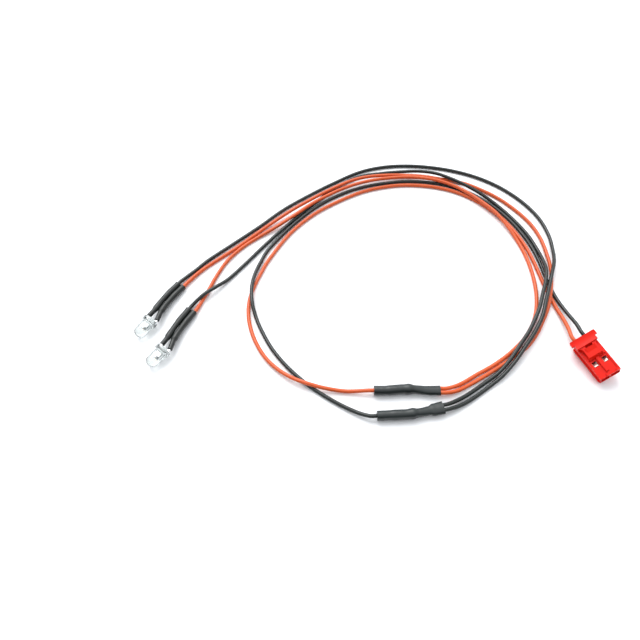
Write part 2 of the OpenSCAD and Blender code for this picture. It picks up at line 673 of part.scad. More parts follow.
wire_black(concat(lamp_end(far_lamp, cathode), far_black_points, pair_end(black_splice, -1)));  // far_lamp_black_wire
wire_red(concat(lamp_end(far_lamp, anode), far_red_points, pair_end(red_splice, -1)));  // far_lamp_red_wire
wire_black(concat(lamp_end(near_lamp, cathode), near_black_points, pair_end(black_splice, 1)));  // near_lamp_black_wire
wire_red(concat(lamp_end(near_lamp, anode), near_red_points, pair_end(red_splice, 1)));  // near_lamp_red_wire
wire_black(concat(way_end(1), plug_black_points, single_end(black_splice)));  // plug_black_wire
wire_red(concat(way_end(-1), plug_red_points, single_end(red_splice)));  // plug_red_wire
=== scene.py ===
# %% [markdown]
# # A wired pair of clear indicator lamps
# The object is a small harness. Two water clear 3 mm lamps sit on short legs, each leg is soldered
# to a thin wire inside a shrunk sleeve, and the four wires run round one loose loop to two splices.
# From there a black and a red wire go once more round the loop to a two way plug.
# The solids come first, as a fixed frame in metres: every piece made here takes the place of one
# of them, so it lies where that solid lies.

# %% Load the frame
import json
import math

import bpy
import numpy as np
from mathutils import Matrix, Vector


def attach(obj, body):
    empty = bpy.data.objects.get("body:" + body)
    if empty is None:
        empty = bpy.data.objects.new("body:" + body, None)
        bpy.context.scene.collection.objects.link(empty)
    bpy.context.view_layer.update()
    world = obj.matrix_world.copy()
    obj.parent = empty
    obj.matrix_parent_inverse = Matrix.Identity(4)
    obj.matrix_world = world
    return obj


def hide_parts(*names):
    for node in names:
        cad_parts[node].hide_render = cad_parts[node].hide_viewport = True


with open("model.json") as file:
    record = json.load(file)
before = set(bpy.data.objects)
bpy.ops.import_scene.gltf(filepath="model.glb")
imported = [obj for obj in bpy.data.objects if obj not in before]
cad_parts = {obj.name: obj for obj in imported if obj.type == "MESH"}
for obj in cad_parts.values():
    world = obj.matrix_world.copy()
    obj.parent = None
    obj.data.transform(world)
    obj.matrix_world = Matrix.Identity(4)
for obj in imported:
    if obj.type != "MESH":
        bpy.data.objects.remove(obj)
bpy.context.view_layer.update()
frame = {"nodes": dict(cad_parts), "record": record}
nodes = frame["nodes"]
MM = 0.001


def placed(name, data):
    """A new object that holds the data, linked into the scene."""
    made = bpy.data.objects.new(name, data)
    bpy.context.scene.collection.objects.link(made)
    return made


print(len(nodes), "solids in the frame")

# %% [markdown]
# ## The camera
# The picture looks down on the loop from in front. A long lens would flatten the loop, and the
# near wires are plainly thicker than the far ones, so the camera stands close: 140 mm from the
# point that it looks at, with a field some 160 mm wide there. It is aimed by its own axes, because
# a constraint would be one more thing to keep alive.

# %% Place the camera
LOOK_AT = Vector((37.9, 1.55, 0.0)) * MM
CAMERA_DISTANCE = 140 * MM
CAMERA_ELEVATION = math.radians(57)
CAMERA_LENS = 31.5
SENSOR_WIDTH = 36
NEAREST_SEEN = 5 * MM

camera = placed("camera", bpy.data.cameras.new("camera"))
camera.data.lens = CAMERA_LENS
camera.data.sensor_width = SENSOR_WIDTH
camera.data.clip_start = NEAREST_SEEN
back = Vector((0, -math.cos(CAMERA_ELEVATION), math.sin(CAMERA_ELEVATION)))
camera.location = LOOK_AT + back * CAMERA_DISTANCE
camera.rotation_euler = back.to_track_quat("Z", "Y").to_euler()
bpy.context.scene.camera = camera
print("camera at", [round(v / MM, 1) for v in camera.location], "mm")

# %% [markdown]
# ## Numbers that the cords need
# A cord has to meet the pieces that hold it exactly, so the places of the lamps, the splices and
# the plug are named once here, in millimetres. Small functions then work out three points for each
# end of a wire: inside the piece that holds it, at that piece's mouth, and a little outside it.

# %% Places and end points of the wires
FLANGE_D = 3.85
WIRE_D = 0.95
WIRE_TUCK = 3.0
LEAD_OUT = 1.5
LEG_PITCH = 2.54
LEG_BARE = 0.3
LEG_CLOSE = 2.6
SLEEVE_PITCH = 1.66
SLEEVE_BOW = 6.5
SLEEVE_DROP = 5.0
BOW_STEPS = 12
TAIL_START = 0.4
SPLICE_SINGLE_LEN = 8.4
SPLICE_PAIR_LEN = 6.8
SPLICE_AXIS_H = 1.3
WAY_PITCH = 2.5
WAY_Z = 1.45
INSULATION_IN = 3.2

FAR = {"base": (-3.66, 0.26), "heading": 238.5, "close_turn": 12.0, "bow_turn": 12.0}
NEAR = {"base": (0.75, -7.94), "heading": 235.0, "close_turn": 18.0, "bow_turn": 10.0}
LAMPS = {"far_lamp": FAR, "near_lamp": NEAR}
RED = {"start": (50.2, -18.5), "heading": 0.0, "turn": 0.0, "spread": 1.06,
       "wrap": 0.70, "arch": 0.35}
BLACK = {"start": (50.6, -24.7), "heading": 3.0, "turn": 10.0, "spread": 1.2,
         "wrap": 0.95, "arch": 0.0}
SPLICES = {"red_splice": RED, "black_splice": BLACK}
PLUG_AT = (100.8, -5.3)
PLUG_HEADING = -66.0
PLUG_ROLL = math.radians(25)
PLUG_HALF_WIDTH = 2.75
PLUG_LIFT = PLUG_HALF_WIDTH * math.sin(PLUG_ROLL)
CATHODE, ANODE = 1, -1
LEFT, RIGHT = 1, -1


def turned(point, degrees):
    c, s = math.cos(math.radians(degrees)), math.sin(math.radians(degrees))
    return np.array([point[0] * c - point[1] * s, point[0] * s + point[1] * c])


def along(degrees, distance):
    return turned((distance, 0), degrees)


def tail_point(lamp, point):
    """A point of the plane that a lamp's legs lie in, x running back from the lamp."""
    drop = math.radians(SLEEVE_DROP)
    run = TAIL_START + point[0] * math.cos(drop)
    flat = np.array(lamp["base"]) + turned((run, point[1]), lamp["heading"] + 180)
    return np.array([*flat, FLANGE_D / 2 - point[0] * math.sin(drop)])


def leg_line(lamp, side, out=0.0):
    """Corner, bow and mouth of one leg's sleeve, as points in the legs' plane."""
    close, bow = lamp["close_turn"], lamp["bow_turn"]
    radius = SLEEVE_BOW / math.radians(bow)
    start = np.array([LEG_BARE, 0]) + along(close, LEG_CLOSE)
    centre = start - turned((0, radius), close)
    reach = radius + side * SLEEVE_PITCH / 2
    corner = np.array([LEG_BARE, side * LEG_PITCH / 2])
    bend = [centre + turned((0, reach), close - bow * k / BOW_STEPS)
            for k in range(BOW_STEPS + 1)]
    mouth = bend[-1] + along(close - bow, WIRE_TUCK + out)
    return corner, bend, mouth


def lamp_end(lamp, side):
    """Three points of a lamp wire: its end on the joint, the sleeve's mouth, and outside it."""
    _, bend, mouth = leg_line(lamp, side)
    outside = leg_line(lamp, side, LEAD_OUT)[2]
    return [tail_point(lamp, p) for p in (bend[-1], mouth, outside)]


def splice_point(splice, side, distance):
    """A point on the line of one wire of a splice's pair, measured from the splice's turn."""
    turn_at = np.array(splice["start"]) + along(splice["heading"], SPLICE_SINGLE_LEN)
    offset = turned((distance, side * splice["spread"] / 2), splice["heading"] + splice["turn"])
    return np.array([*(turn_at + offset), SPLICE_AXIS_H])


def pair_end(splice, side):
    return [splice_point(splice, side, SPLICE_PAIR_LEN + d) for d in (LEAD_OUT, 0, -WIRE_TUCK)]


def single_end(splice):
    places = [np.array(splice["start"]) + along(splice["heading"], d)
              for d in (-LEAD_OUT, 0, WIRE_TUCK)]
    return [np.array([*p, SPLICE_AXIS_H]) for p in places]


def plug_point(x, y, z):
    """A point given in the plug's own frame: x towards the mouths, z up from its floor."""
    across = y * math.cos(PLUG_ROLL) - z * math.sin(PLUG_ROLL)
    flat = np.array(PLUG_AT) + turned((x, across), PLUG_HEADING)
    return np.array([*flat, PLUG_LIFT + y * math.sin(PLUG_ROLL) + z * math.cos(PLUG_ROLL)])


def way_end(side):
    return [plug_point(x, side * WAY_PITCH / 2, WAY_Z) for x in (INSULATION_IN, 0, -LEAD_OUT)]


print("far lamp's black wire starts at", np.round(lamp_end(FAR, CATHODE)[0], 2))

# %% [markdown]
# ## The wires' routes
# Each wire is a fixed length that lies where it fell, so its route is a list of given points, with
# low humps where one wire lies over another. The height of 0.5 mm is a wire lying on the surface,
# 1.5 mm is one on top of another, and 2.5 mm is one on top of two.

# %% Route points between the end pieces, in millimetres
FAR_BLACK_POINTS = [
    (5.3, 17, 0.6), (8.2, 20.4, 0.5), (14.3, 26, 0.5), (21, 32.2, 0.5), (27.4, 38.6, 0.5),
    (34.2, 44, 0.5), (41.6, 49.2, 0.5), (49.5, 54, 0.5), (56.8, 56.3, 0.5), (64.2, 56.9, 0.5),
    (71.5, 56.2, 0.5), (78.5, 54.5, 0.5), (85, 51.7, 0.5), (91, 47.5, 0.5), (96, 42, 0.5),
    (99.5, 35.8, 0.5), (101, 29.3, 0.5), (100.8, 23.5, 0.8), (99.7, 18.8, 1.9), (98, 14.5, 2.5),
    (96.3, 10.2, 2.5), (94.6, 6, 2.5), (92.7, 1.3, 2.4), (90.2, -2.9, 2.1), (87.1, -7, 1.8),
    (84, -10.9, 1.5), (80.6, -14.4, 1), (76.8, -17.3, 0.5), (72.4, -20.4, 0.6), (69.6, -22, 0.8)]
FAR_RED_POINTS = [
    (6, 16, 0.6), (8.8, 18.9, 0.5), (15, 24.4, 0.5), (20.5, 29.8, 0.5), (26, 34.6, 1),
    (32, 39.3, 1.5), (41.2, 46, 1.5), (49.3, 50.4, 1.5), (58, 52, 1.3), (67.4, 52.3, 0.7),
    (73.3, 51.4, 0.5), (77.9, 50.3, 0.5), (82.5, 48.4, 0.5), (89.8, 43, 0.5), (95.8, 35.3, 0.5),
    (98.4, 28.4, 0.5), (98.9, 21, 0.8), (98.4, 16, 1.4), (97.6, 12, 1.5), (96.4, 8, 1.5),
    (94.9, 4, 1.3), (93.1, 0.6, 0.8), (90.9, -3, 0.5), (87.8, -6.6, 0.5), (83.7, -9.7, 0.5),
    (79.1, -12.7, 0.5), (75.4, -15, 0.5), (71.6, -17.2, 0.6), (69, -18.5, 0.9)]
NEAR_BLACK_POINTS = [
    (8.5, 8.4, 1.6), (11.2, 10.9, 1.3), (14, 13.9, 0.6), (18, 19, 0.5), (22.7, 25.3, 0.5),
    (27.4, 31.2, 0.5), (32.2, 36.8, 0.5), (37.3, 42.3, 0.5), (42.6, 47.6, 0.5), (49.3, 52, 0.5),
    (56, 53.6, 0.5), (62, 54, 0.8), (67.5, 53.8, 1.2), (72.2, 52.6, 1.5), (76.2, 50.6, 1.5),
    (80, 48, 1.5), (83.8, 45.1, 1.2), (87.5, 41.7, 0.7), (90.5, 37.9, 0.5), (93.2, 33.4, 0.5),
    (95.3, 29, 0.5), (96.6, 24.4, 0.6), (97, 19.5, 1.5), (96.8, 15.7, 2.3), (95.8, 12, 2.5),
    (94.2, 8, 2.5), (92.6, 4, 2.5), (90.8, 0.6, 2.3), (88.6, -3, 2), (86, -6.4, 1.8),
    (83, -10.3, 1.5), (79.7, -13.7, 1), (76.1, -16.2, 0.5), (71.9, -19.1, 0.6), (69, -20.8, 0.9)]
NEAR_RED_POINTS = [
    (9.1, 10.2, 0.5), (10.7, 14.8, 0.5), (13, 19.8, 0.5), (16.3, 24.2, 0.5), (20.3, 27.9, 0.5),
    (25.4, 31.6, 0.9), (30.5, 35.6, 1.4), (36.9, 41.2, 1.5), (45.1, 46.5, 1.5), (53, 49.6, 1.5),
    (61.2, 50.9, 1.5), (67.1, 50.8, 1.5), (72.5, 49.6, 1.5), (77, 47.4, 1.5), (80.8, 44.4, 1.5),
    (84.3, 40.8, 1.5), (87.4, 36.8, 1.5), (90, 32, 1.1), (91.9, 27.2, 0.6), (93.1, 22.4, 0.5),
    (93.7, 17.2, 0.5), (93.7, 12.2, 0.5), (93.2, 7.8, 0.5), (92.2, 3.8, 0.5), (90.6, 0, 0.5),
    (88.2, -3.6, 0.5), (85.2, -6.7, 0.5), (82, -9.4, 0.5), (78.5, -11.8, 0.5), (74.8, -13.9, 0.5),
    (71.4, -16, 0.6), (69.1, -17.2, 0.9)]
PLUG_BLACK_POINTS = [
    (100.3, -1.3, 2.6), (99.7, 1.4, 1.8), (99.1, 4.1, 1.1), (98.4, 7, 0.6), (97.7, 9.8, 0.5),
    (97.2, 12.8, 0.5), (96.8, 16.5, 0.5), (96.3, 20.5, 0.5), (95.4, 24.8, 0.5), (94, 29, 0.5),
    (92, 33.4, 0.5), (89.3, 37.7, 0.5), (86.2, 41.4, 0.5), (82.5, 44.6, 0.5), (78.2, 47.3, 0.5),
    (73.1, 49.2, 0.5), (67.2, 50.1, 0.5), (61, 50, 0.5), (52.4, 48.4, 0.5), (45, 45.4, 0.5),
    (37.4, 40.2, 0.5), (30.5, 33.1, 0.5), (24.3, 24.6, 0.5), (22.2, 19.8, 0.6), (20.9, 15, 1.2),
    (20.4, 10.5, 1.6), (20.8, 6, 1.3), (22, 1.8, 0.6), (23.7, -2.2, 0.5), (26.3, -7, 0.5),
    (30, -11.8, 0.5), (34.5, -16.2, 0.5), (38.8, -19.4, 0.5), (42.8, -21.9, 0.6), (46.4, -23.8, 0.9)]
PLUG_RED_POINTS = [
    (98.5, -2, 1.7), (98.2, 1.2, 1.1), (97.6, 4.4, 0.6), (96.9, 7.8, 0.5), (96.1, 11.6, 0.5),
    (95.5, 16, 0.5), (94.9, 20, 0.5), (94.1, 24, 0.5), (92.8, 28.1, 0.5), (91, 32.2, 0.5),
    (88.6, 36.2, 0.5), (83.8, 41.5, 0.5), (77.8, 45.7, 0.5), (70.4, 48.1, 0.5), (61.6, 48.6, 0.5),
    (53, 46.9, 0.5), (45.6, 43.5, 0.5), (36.9, 37.6, 0.5), (29.9, 30.1, 0.5), (24.5, 21, 0.5),
    (22.5, 16.3, 0.5), (21, 12, 0.5), (20, 7.7, 0.5), (19.9, 3.5, 0.5), (20.7, -0.9, 0.5),
    (22.3, -5.2, 0.5), (24.8, -9.4, 0.5), (28, -12.8, 0.8), (31.5, -15.3, 1.3), (35, -16.8, 1.5),
    (39, -17.8, 1.1), (43.8, -18.4, 0.7)]

ROUTES = {
    "far_lamp_black_wire": lamp_end(FAR, CATHODE) + FAR_BLACK_POINTS + pair_end(BLACK, RIGHT),
    "far_lamp_red_wire": lamp_end(FAR, ANODE) + FAR_RED_POINTS + pair_end(RED, RIGHT),
    "near_lamp_black_wire": lamp_end(NEAR, CATHODE) + NEAR_BLACK_POINTS + pair_end(BLACK, LEFT),
    "near_lamp_red_wire": lamp_end(NEAR, ANODE) + NEAR_RED_POINTS + pair_end(RED, LEFT),
    "plug_black_wire": way_end(LEFT) + PLUG_BLACK_POINTS + single_end(BLACK),
    "plug_red_wire": way_end(RIGHT) + PLUG_RED_POINTS + single_end(RED),
}
print({name: len(points) for name, points in ROUTES.items()})

# %% [markdown]
# ## Shared effects
# Two effects come back on nearly every surface here: a faint unevenness of colour, and a fine
# relief that breaks up the highlights. Each is a node group with named inputs, so that a material
# states only how strong and how fine it wants them.

# %% Node group helpers


def socket(group, name, kind, out=False, value=None):
    made = group.interface.new_socket(name, in_out="OUTPUT" if out else "INPUT",
                                      socket_type="NodeSocket" + kind)
    if value is not None:
        made.default_value = value


def add(tree, kind, inputs=None, **settings):
    """A node of that kind, with its settings, and its inputs set to values or linked to outputs."""
    node = tree.nodes.new(kind)
    for key, value in settings.items():
        setattr(node, key, value)
    for key, value in (inputs or {}).items():
        if isinstance(value, bpy.types.NodeSocket):
            tree.links.new(value, node.inputs[key])
        else:
            node.inputs[key].default_value = value
    return node


def uneven_group():
    """Mixes two colours in soft patches, and gives the patches' mask too."""
    group = bpy.data.node_groups.new("uneven colour", "ShaderNodeTree")
    socket(group, "Place", "Vector")
    socket(group, "Colour", "Color")
    socket(group, "Other", "Color")
    socket(group, "Scale", "Float", value=500.0)
    socket(group, "Colour", "Color", out=True)
    socket(group, "Mask", "Float", out=True)
    start = add(group, "NodeGroupInput")
    noise = add(group, "ShaderNodeTexNoise", {
        "Vector": start.outputs["Place"], "Scale": start.outputs["Scale"],
        "Detail": 4.0, "Roughness": 0.55})
    mask = add(group, "ShaderNodeMapRange", {
        "Value": noise.outputs["Fac"], "From Min": 0.3, "From Max": 0.7})
    mix = add(group, "ShaderNodeMix", {0: mask.outputs[0], 6: start.outputs["Colour"],
                                       7: start.outputs["Other"]}, data_type="RGBA")
    end = add(group, "NodeGroupOutput")
    group.links.new(mix.outputs[2], end.inputs["Colour"])
    group.links.new(mask.outputs[0], end.inputs["Mask"])
    return group


def relief_group():
    """A fine relief, as a normal. Depth is in metres."""
    group = bpy.data.node_groups.new("fine relief", "ShaderNodeTree")
    socket(group, "Place", "Vector")
    socket(group, "Scale", "Float", value=3000.0)
    socket(group, "Depth", "Float", value=0.00001)
    socket(group, "Normal", "Vector", out=True)
    start = add(group, "NodeGroupInput")
    noise = add(group, "ShaderNodeTexNoise", {
        "Vector": start.outputs["Place"], "Scale": start.outputs["Scale"],
        "Detail": 3.0, "Roughness": 0.6})
    bump = add(group, "ShaderNodeBump", {
        "Height": noise.outputs["Fac"], "Distance": start.outputs["Depth"], "Strength": 1.0})
    end = add(group, "NodeGroupOutput")
    group.links.new(bump.outputs["Normal"], end.inputs["Normal"])
    return group


UNEVEN = uneven_group()
RELIEF = relief_group()
print("groups:", UNEVEN.name, "and", RELIEF.name)

# %% [markdown]
# ## Finishes
# A finish here is one small function: two colours close to each other, how fine their patches
# are, how deep and how fine the relief is, and between what bounds the surface is rough. Where a
# pattern follows the piece, as on wires and sleeves, it reads the run map, which counts in
# centimetres. Elsewhere it reads object coordinates, which are metres, so its scales are larger.

# %% Make the finishes


def blank_material(name):
    made = bpy.data.materials.new(name)
    made.use_nodes = True
    made.node_tree.nodes.clear()
    return made


def finish(name, colour, other, patch, depth, grain, rough, follow=None, **shader_values):
    """A material with uneven colour, uneven roughness and fine relief."""
    made = blank_material(name)
    tree = made.node_tree
    if follow:
        run = add(tree, "ShaderNodeUVMap", uv_map="run")
        place = add(tree, "ShaderNodeMapping", {"Vector": run.outputs[0], "Scale": follow}).outputs[0]
    else:
        place = add(tree, "ShaderNodeTexCoord").outputs["Object"]
    patches = add(tree, "ShaderNodeGroup", {
        "Place": place, "Colour": (*colour, 1), "Other": (*other, 1), "Scale": patch},
        node_tree=UNEVEN)
    relief = add(tree, "ShaderNodeGroup", {
        "Place": place, "Scale": grain, "Depth": depth}, node_tree=RELIEF)
    gloss = add(tree, "ShaderNodeMapRange", {
        "Value": patches.outputs["Mask"], "To Min": rough[0], "To Max": rough[1]})
    shader = add(tree, "ShaderNodeBsdfPrincipled", {
        "Base Color": patches.outputs["Colour"], "Roughness": gloss.outputs[0],
        "Normal": relief.outputs["Normal"]})
    for key, value in shader_values.items():
        shader.inputs[key.replace("_", " ")].default_value = value
    add(tree, "ShaderNodeOutputMaterial", {"Surface": shader.outputs[0]})
    return made


ALONG_WIRE = (1.0, 3.0, 1.0)
ALONG_TUBE = (1.0, 2.0, 1.0)
FINISHES = {
    "black_insulation": finish(
        "black insulation", (0.006, 0.009, 0.008), (0.013, 0.018, 0.016), patch=2.0,
        depth=0.000006, grain=14.0, rough=(0.22, 0.34), follow=ALONG_WIRE),
    "red_insulation": finish(
        "red insulation", (0.59, 0.076, 0.009), (0.66, 0.105, 0.017), patch=2.0,
        depth=0.000006, grain=14.0, rough=(0.3, 0.42), follow=ALONG_WIRE),
    "leg_tube": finish(
        "leg sleeve", (0.004, 0.006, 0.005), (0.010, 0.014, 0.011), patch=3.0,
        depth=0.00003, grain=10.0, rough=(0.3, 0.42), follow=ALONG_TUBE, Specular_IOR_Level=0.52),
    "splice_tube": finish(
        "splice sleeve", (0.006, 0.010, 0.010), (0.014, 0.021, 0.020), patch=3.0,
        depth=0.00003, grain=7.0, rough=(0.3, 0.42), follow=ALONG_TUBE, Specular_IOR_Level=0.6),
    "red_nylon": finish(
        "red nylon", (0.69, 0.008, 0.001), (0.76, 0.013, 0.003), patch=300.0,
        depth=0.00001, grain=9000.0, rough=(0.34, 0.48), Specular_IOR_Level=0.17),
    "tinned_steel": finish(
        "tinned steel", (0.62, 0.63, 0.64), (0.75, 0.76, 0.77), patch=900.0,
        depth=0.000006, grain=6000.0, rough=(0.2, 0.38), Metallic=1.0),
    "tinned_bronze": finish(
        "tinned bronze", (0.66, 0.63, 0.56), (0.78, 0.76, 0.70), patch=900.0,
        depth=0.000006, grain=6000.0, rough=(0.2, 0.36), Metallic=1.0),
    "solder": finish(
        "solder", (0.55, 0.55, 0.54), (0.70, 0.70, 0.69), patch=1500.0,
        depth=0.00003, grain=2500.0, rough=(0.22, 0.4), Metallic=1.0),
    "gold": finish(
        "gold wire", (0.93, 0.68, 0.28), (0.97, 0.76, 0.36), patch=3000.0,
        depth=0.000001, grain=20000.0, rough=(0.15, 0.25), Metallic=1.0),
    "chip": finish(
        "light chip", (0.20, 0.16, 0.10), (0.32, 0.27, 0.18), patch=6000.0,
        depth=0.000002, grain=20000.0, rough=(0.2, 0.35)),
}


def clear_epoxy():
    """Water clear resin: plain glass with the faint flow marks that casting leaves."""
    made = blank_material("clear epoxy")
    tree = made.node_tree
    place = add(tree, "ShaderNodeTexCoord").outputs["Object"]
    relief = add(tree, "ShaderNodeGroup", {
        "Place": place, "Scale": 700.0, "Depth": 0.00001}, node_tree=RELIEF)
    noise = add(tree, "ShaderNodeTexNoise", {"Vector": place, "Scale": 1200.0})
    gloss = add(tree, "ShaderNodeMapRange", {
        "Value": noise.outputs["Fac"], "To Min": 0.02, "To Max": 0.07})
    shader = add(tree, "ShaderNodeBsdfPrincipled", {
        "Base Color": (0.85, 0.89, 0.875, 1.0), "Roughness": gloss.outputs[0], "IOR": 1.53,
        "Transmission Weight": 1.0, "Normal": relief.outputs["Normal"]})
    add(tree, "ShaderNodeOutputMaterial", {"Surface": shader.outputs[0]})
    return made


FINISHES["clear_epoxy"] = clear_epoxy()
SLOT_OF = {part["node"]: part["material_slot"] for part in frame["record"]["subparts"]}


def dress(made, slot_name):
    made.data.materials.clear()
    made.data.materials.append(FINISHES[slot_name])


for name, node in nodes.items():
    dress(node, SLOT_OF[name])
print(len(FINISHES), "finishes")

# %% [markdown]
# ## Lines, rings and skins
# Wires and shrunk sleeves are all round sections carried along a line. A sleeve has lumps, a rim
# and a bore, so one helper joins a loop of rings into a closed skin. It gives the skin a UV map: U
# is the distance along the piece in centimetres and V goes once round. The finishes use that map,
# so their marks follow every bend.

# %% Ring and skin helpers
LINE_STEP = 0.35
SHARP_FROM = 50
MM_IN_CM = 10


def smooth_line(points):
    """A smooth cubic curve through all the points, as an array of rows."""
    p = np.array(points, float)
    p = np.vstack([2 * p[0] - p[1], p, 2 * p[-1] - p[-2]])
    rows = []
    for a, b, c, d in zip(p[:-3], p[1:-2], p[2:-1], p[3:]):
        count = max(1, round(float(np.linalg.norm(c - b)) / LINE_STEP))
        for t in np.arange(count)[:, None] / count:
            rows.append(0.5 * (2 * b + (c - a) * t + (2 * a - 5 * b + 4 * c - d) * t ** 2
                               + (3 * b - a - 3 * c + d) * t ** 3))
    line = np.vstack(rows + [p[-2]])
    line[:, 2] = np.maximum(line[:, 2], WIRE_D / 2)
    return line


def line_length(line):
    return float(np.linalg.norm(np.diff(line, axis=0), axis=1).sum())


def section_axes(line):
    """Sideways and upward unit vectors square to the line at each of its points."""
    ahead = np.gradient(line, axis=0)
    ahead /= np.linalg.norm(ahead, axis=1)[:, None]
    side = np.cross([0, 0, 1], ahead)
    side /= np.linalg.norm(side, axis=1)[:, None]
    return ahead, side, np.cross(ahead, side)


def rings_along(line, wide, high, sides):
    """Oval rings round a line: half width to the side and half height upward at each point."""
    _, side, up = section_axes(line)
    wide = np.broadcast_to(wide, len(line))[:, None, None]
    high = np.broadcast_to(high, len(line))[:, None, None]
    angle = np.linspace(0, 2 * np.pi, sides, endpoint=False)[None, :, None]
    return (line[:, None] + wide * np.cos(angle) * side[:, None]
            + high * np.sin(angle) * up[:, None])


def shade_smooth(mesh, sharp_from=SHARP_FROM):
    """Smooth shading, with the edges left sharp that bend by more than so many degrees."""
    mesh.polygons.foreach_set("use_smooth", [True] * len(mesh.polygons))
    mesh.set_sharp_from_angle(angle=math.radians(sharp_from))


def skin(name, rings, run):
    """A mesh object from a closed loop of rings. run is each ring's place along the piece."""
    count, sides = rings.shape[:2]
    verts = (rings.reshape(-1, 3) * MM).tolist()
    faces, uvs = [], []
    for i in range(count):
        j = (i + 1) % count
        for k in range(sides):
            n = (k + 1) % sides
            faces.append((i * sides + k, i * sides + n, j * sides + n, j * sides + k))
            near, far = k / sides, (k + 1) / sides
            uvs += [(run[i], near), (run[i], far), (run[j], far), (run[j], near)]
    mesh = bpy.data.meshes.new(name)
    mesh.from_pydata(verts, [], faces)
    layer = mesh.uv_layers.new(name="run")
    layer.data.foreach_set("uv", np.array(uvs, float).ravel())
    shade_smooth(mesh)
    return placed(name, mesh)


for name, points in ROUTES.items():
    print(name, round(line_length(smooth_line(points)), 1), "mm long")

# %% [markdown]
# ## A node tree for the wires
# Thin hook-up wire is a bundle of tinned strands in a soft plastic skin, and only the skin shows.
# All six wires are the same product along different lines, so one Geometry Nodes tree makes them:
# it spaces the line's points evenly, lets the radius waver as an extruded skin's does, and carries
# a ring along it. The tree writes the run map too. The ring's last column of faces would fold the
# map back to zero, so its far corners are moved on by one whole turn.

# %% The wire tree


def add_math(tree, operation, a, b):
    return add(tree, "ShaderNodeMath", {0: a, 1: b}, operation=operation).outputs[0]


def captured(tree, geometry, name, field):
    """The geometry with one field frozen on its points, and the frozen field."""
    node = add(tree, "GeometryNodeCaptureAttribute", domain="POINT")
    node.capture_items.new("FLOAT", name)
    tree.links.new(geometry, node.inputs["Geometry"])
    tree.links.new(field, node.inputs[name])
    return node.outputs["Geometry"], node.outputs[name]


def wire_tree():
    tree = bpy.data.node_groups.new("insulated wire", "GeometryNodeTree")
    socket(tree, "Geometry", "Geometry")
    socket(tree, "Radius", "Float", value=0.0005)
    socket(tree, "Step", "Float", value=0.0004)
    socket(tree, "Swell", "Float", value=0.0)
    socket(tree, "Seed", "Float", value=0.0)
    socket(tree, "Sides", "Int", value=16)
    socket(tree, "Material", "Material")
    socket(tree, "Geometry", "Geometry", out=True)
    given = add(tree, "NodeGroupInput").outputs

    even = add(tree, "GeometryNodeResampleCurve", {
        "Curve": given["Geometry"], "Length": given["Step"]}, mode="LENGTH").outputs[0]
    length = add(tree, "GeometryNodeSplineParameter").outputs["Length"]
    line, run = captured(tree, even, "Run", length)
    waves = add(tree, "ShaderNodeTexNoise", {"Scale": 300.0, "Detail": 2.0}, noise_dimensions="1D")
    tree.links.new(add_math(tree, "ADD", length, given["Seed"]), waves.inputs["W"])
    loss = add_math(tree, "MULTIPLY", waves.outputs["Fac"], given["Swell"])
    radius = add_math(tree, "MULTIPLY", given["Radius"], add_math(tree, "SUBTRACT", 1.0, loss))

    circle = add(tree, "GeometryNodeCurvePrimitiveCircle", {
        "Resolution": given["Sides"], "Radius": 1.0}).outputs[0]
    number = add(tree, "GeometryNodeInputIndex").outputs[0]
    ring, column = captured(tree, circle, "Column", number)
    tube = add(tree, "GeometryNodeCurveToMesh", {
        "Curve": line, "Profile Curve": ring, "Scale": radius, "Fill Caps": True}).outputs[0]

    middle = add(tree, "GeometryNodeFieldOnDomain", {"Value": column}, domain="FACE").outputs[0]
    folded = add_math(tree, "GREATER_THAN", add_math(tree, "SUBTRACT", middle, column), 1.0)
    turn = add_math(tree, "ADD", add_math(tree, "DIVIDE", column, given["Sides"]), folded)
    centimetres = add_math(tree, "MULTIPLY", run, 100.0)
    uv = add(tree, "ShaderNodeCombineXYZ", {"X": centimetres, "Y": turn}).outputs[0]
    mapped = add(tree, "GeometryNodeStoreNamedAttribute", {
        "Geometry": tube, "Name": "run", "Value": uv}, data_type="FLOAT2", domain="CORNER")
    real = add(tree, "GeometryNodeRealizeInstances", {"Geometry": mapped.outputs[0]})
    dressed = add(tree, "GeometryNodeSetMaterial", {
        "Geometry": real.outputs[0], "Material": given["Material"]})
    add(tree, "NodeGroupOutput", {"Geometry": dressed.outputs[0]})
    return tree


WIRE_TREE = wire_tree()
print(WIRE_TREE.name, "has", len(WIRE_TREE.nodes), "nodes")

# %% [markdown]
# ## The six wires
# Each wire starts as a bare line, the smooth curve through its route's points. The tree is put on
# that line as a modifier, its inputs are set, and the result is kept as a plain mesh.

# %% Make the wires
WIRE_SIDES = 20
RING_STEP = 0.35
WIRE_SWELL = 0.008


def line_object(name, points):
    curve = bpy.data.curves.new(name, "CURVE")
    curve.dimensions = "3D"
    spline = curve.splines.new("POLY")
    spline.points.add(len(points) - 1)
    for point, place in zip(spline.points, points):
        point.co = (*(float(v) * MM for v in place), 1.0)
    return placed(name, curve)


def grown(line, tree, values):
    """The mesh that a tree makes from an object, as an object of its own."""
    modifier = line.modifiers.new("tree", "NODES")
    modifier.node_group = tree
    names = {item.name: item.identifier for item in tree.interface.items_tree
             if item.in_out == "INPUT"}
    for name, value in values.items():
        modifier[names[name]] = value
    line.update_tag()
    graph = bpy.context.evaluated_depsgraph_get()
    mesh = bpy.data.meshes.new_from_object(line.evaluated_get(graph), depsgraph=graph)
    line.modifiers.remove(modifier)
    mesh.name = line.name + "_skin"
    shade_smooth(mesh)
    made = placed(mesh.name, mesh)
    bpy.data.objects.remove(line)
    return made


